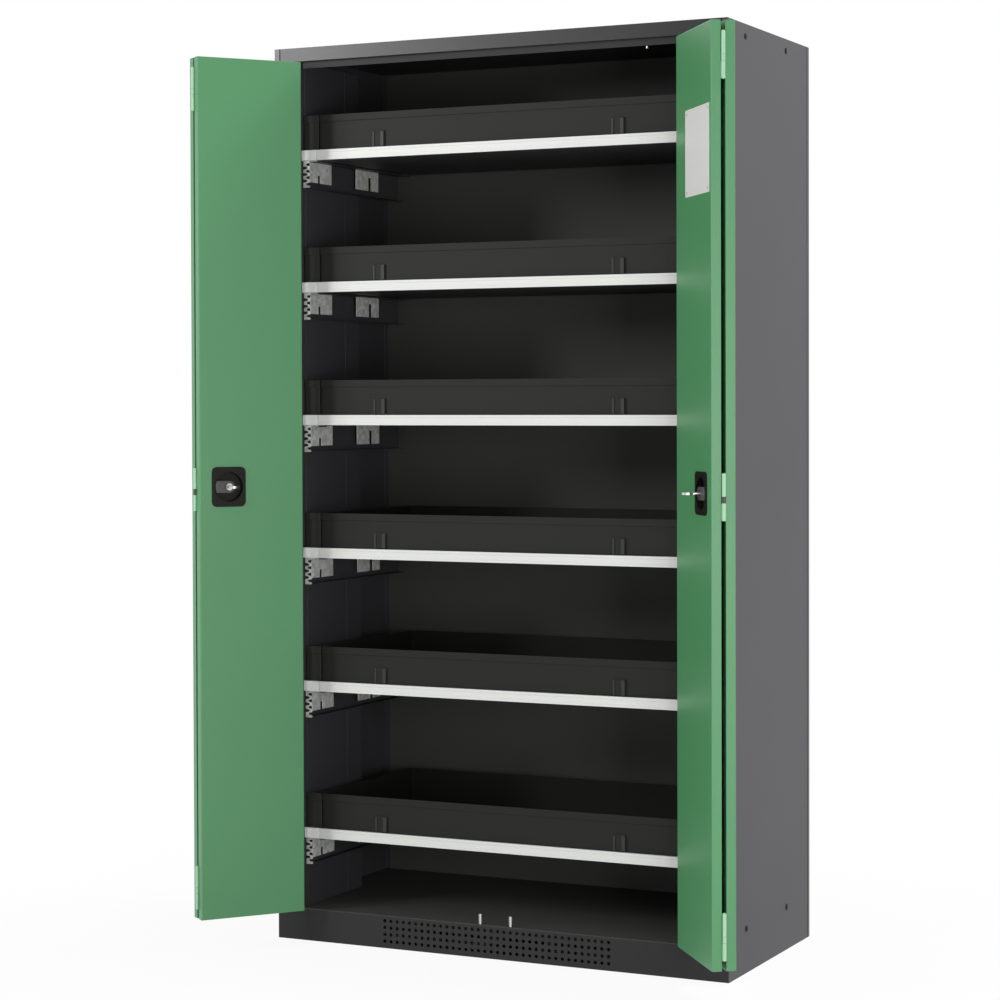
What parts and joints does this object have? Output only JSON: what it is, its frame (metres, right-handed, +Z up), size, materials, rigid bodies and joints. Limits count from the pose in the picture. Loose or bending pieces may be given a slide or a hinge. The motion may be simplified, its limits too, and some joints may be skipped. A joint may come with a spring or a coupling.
{
  "type": "chemical storage cabinet",
  "caption": "Tall steel cabinet with two open folding doors and pull-out spill trays on runners, standing on a vented plinth.",
  "frame": {"origin": "bottom centre of the steel body, on the ground, midway between its sides and between its front and back faces", "axes": "+Z up, -Y out of the front with the doors, +X to the right of someone facing the front"},
  "size_m": [1.2356, 0.7304, 1.95],
  "materials": {
    "anthracite_powder_coat": "fine-textured matt powder coat",
    "green_powder_coat": "fine-textured satin powder coat",
    "white_powder_coat": "smooth satin powder coat",
    "galvanised_steel": "hot-dip galvanised sheet",
    "black_tub_plastic": "moulded, fine grain",
    "black_lock_plastic": "moulded, semi-gloss",
    "grey_handle_plastic": "moulded, fine grain",
    "nickel_plated_steel": "nickel plated"
  },
  "bodies": {
    "cabinet": {"back_panel": "anthracite_powder_coat", "floor_panel": "anthracite_powder_coat", "left_pivot_pin_bottom": "nickel_plated_steel", "left_pivot_pin_top": "nickel_plated_steel", "plinth_frame": "anthracite_powder_coat", "right_pivot_pin_bottom": "nickel_plated_steel", "right_pivot_pin_top": "nickel_plated_steel", "roof_panel": "anthracite_powder_coat", "runner_left_1": "galvanised_steel", "runner_left_2": "galvanised_steel", "runner_left_3": "galvanised_steel", "runner_left_4": "galvanised_steel", "runner_left_5": "galvanised_steel", "runner_left_6": "galvanised_steel", "runner_right_1": "galvanised_steel", "runner_right_2": "galvanised_steel", "runner_right_3": "galvanised_steel", "runner_right_4": "galvanised_steel", "runner_right_5": "galvanised_steel", "runner_right_6": "galvanised_steel", "side_panel_left": "anthracite_powder_coat", "side_panel_right": "anthracite_powder_coat", "upright_left_front": "anthracite_powder_coat", "upright_left_rear": "anthracite_powder_coat", "upright_right_front": "anthracite_powder_coat", "upright_right_rear": "anthracite_powder_coat"},
    "tray_1": {"tray_carrier_1": "anthracite_powder_coat", "tray_strip_1": "white_powder_coat", "tray_tub_1": "black_tub_plastic"},
    "tray_2": {"tray_carrier_2": "anthracite_powder_coat", "tray_strip_2": "white_powder_coat", "tray_tub_2": "black_tub_plastic"},
    "tray_3": {"tray_carrier_3": "anthracite_powder_coat", "tray_strip_3": "white_powder_coat", "tray_tub_3": "black_tub_plastic"},
    "tray_4": {"tray_carrier_4": "anthracite_powder_coat", "tray_strip_4": "white_powder_coat", "tray_tub_4": "black_tub_plastic"},
    "tray_5": {"tray_carrier_5": "anthracite_powder_coat", "tray_strip_5": "white_powder_coat", "tray_tub_5": "black_tub_plastic"},
    "tray_6": {"tray_carrier_6": "anthracite_powder_coat", "tray_strip_6": "white_powder_coat", "tray_tub_6": "black_tub_plastic"},
    "left_outer_door": {"left_door_outer_leaf": "green_powder_coat", "left_fold_pin_bottom": "nickel_plated_steel", "left_fold_pin_middle": "nickel_plated_steel", "left_fold_pin_top": "nickel_plated_steel"},
    "left_inner_door": {"left_door_inner_leaf": "green_powder_coat", "left_lock_cup": "black_lock_plastic"},
    "left_lock_handle": {"left_turn_handle": "grey_handle_plastic"},
    "left_lock_key": {"left_key": "nickel_plated_steel"},
    "right_outer_door": {"right_door_outer_leaf": "green_powder_coat", "right_fold_pin_bottom": "nickel_plated_steel", "right_fold_pin_middle": "nickel_plated_steel", "right_fold_pin_top": "nickel_plated_steel"},
    "right_inner_door": {"right_door_inner_leaf": "green_powder_coat", "right_lock_cup": "black_lock_plastic"},
    "right_lock_handle": {"right_turn_handle": "grey_handle_plastic"},
    "right_lock_key": {"right_key": "nickel_plated_steel"}
  },
  "joints": [
    {"name": "tray_1_slide", "type": "slide", "parent": "cabinet", "child": "tray_1", "axis": [0, -1, 0], "range_m": [0, 0.35]},
    {"name": "tray_2_slide", "type": "slide", "parent": "cabinet", "child": "tray_2", "axis": [0, -1, 0], "range_m": [0, 0.35]},
    {"name": "tray_3_slide", "type": "slide", "parent": "cabinet", "child": "tray_3", "axis": [0, -1, 0], "range_m": [0, 0.35]},
    {"name": "tray_4_slide", "type": "slide", "parent": "cabinet", "child": "tray_4", "axis": [0, -1, 0], "range_m": [0, 0.35]},
    {"name": "tray_5_slide", "type": "slide", "parent": "cabinet", "child": "tray_5", "axis": [0, -1, 0], "range_m": [0, 0.35]},
    {"name": "tray_6_slide", "type": "slide", "parent": "cabinet", "child": "tray_6", "axis": [0, -1, 0], "range_m": [0, 0.35]},
    {"name": "left_door_swing", "type": "hinge", "parent": "cabinet", "child": "left_outer_door", "pos_m": [-0.473, -0.2686, 0.9938], "axis": [0, 0, -1], "range_deg": [-128.2, 0]},
    {"name": "left_door_fold", "type": "hinge", "parent": "left_outer_door", "child": "left_inner_door", "pos_m": [-0.60006, -0.46701, 0.9938], "axis": [0, 0, 1], "range_deg": [-180, 0]},
    {"name": "left_handle_turn", "type": "hinge", "parent": "left_inner_door", "child": "left_lock_handle", "pos_m": [-0.53949, -0.43006, 0.9985], "axis": [0.7859, -0.6184, 0], "range_deg": [0, 90]},
    {"name": "left_key_turn", "type": "hinge", "parent": "left_lock_handle", "child": "left_lock_key", "pos_m": [-0.53949, -0.43006, 0.9985], "axis": [0.7859, -0.6184, 0], "range_deg": [0, 90]},
    {"name": "right_door_swing", "type": "hinge", "parent": "cabinet", "child": "right_outer_door", "pos_m": [0.473, -0.2686, 0.9938], "axis": [0, 0, 1], "range_deg": [-128.2, 0]},
    {"name": "right_door_fold", "type": "hinge", "parent": "right_outer_door", "child": "right_inner_door", "pos_m": [0.60006, -0.46701, 0.9938], "axis": [0, 0, -1], "range_deg": [-180, 0]},
    {"name": "right_handle_turn", "type": "hinge", "parent": "right_inner_door", "child": "right_lock_handle", "pos_m": [0.53949, -0.43006, 0.9985], "axis": [-0.7859, -0.6184, 0], "range_deg": [0, 90]},
    {"name": "right_key_turn", "type": "hinge", "parent": "right_lock_handle", "child": "right_lock_key", "pos_m": [0.53949, -0.43006, 0.9985], "axis": [-0.7859, -0.6184, 0], "range_deg": [0, 90]}
  ],
  "couplings": [
    {"joint": "left_door_fold", "follows": "left_door_swing", "ratio": 1.4041},
    {"joint": "right_door_fold", "follows": "right_door_swing", "ratio": 1.4041}
  ]
}
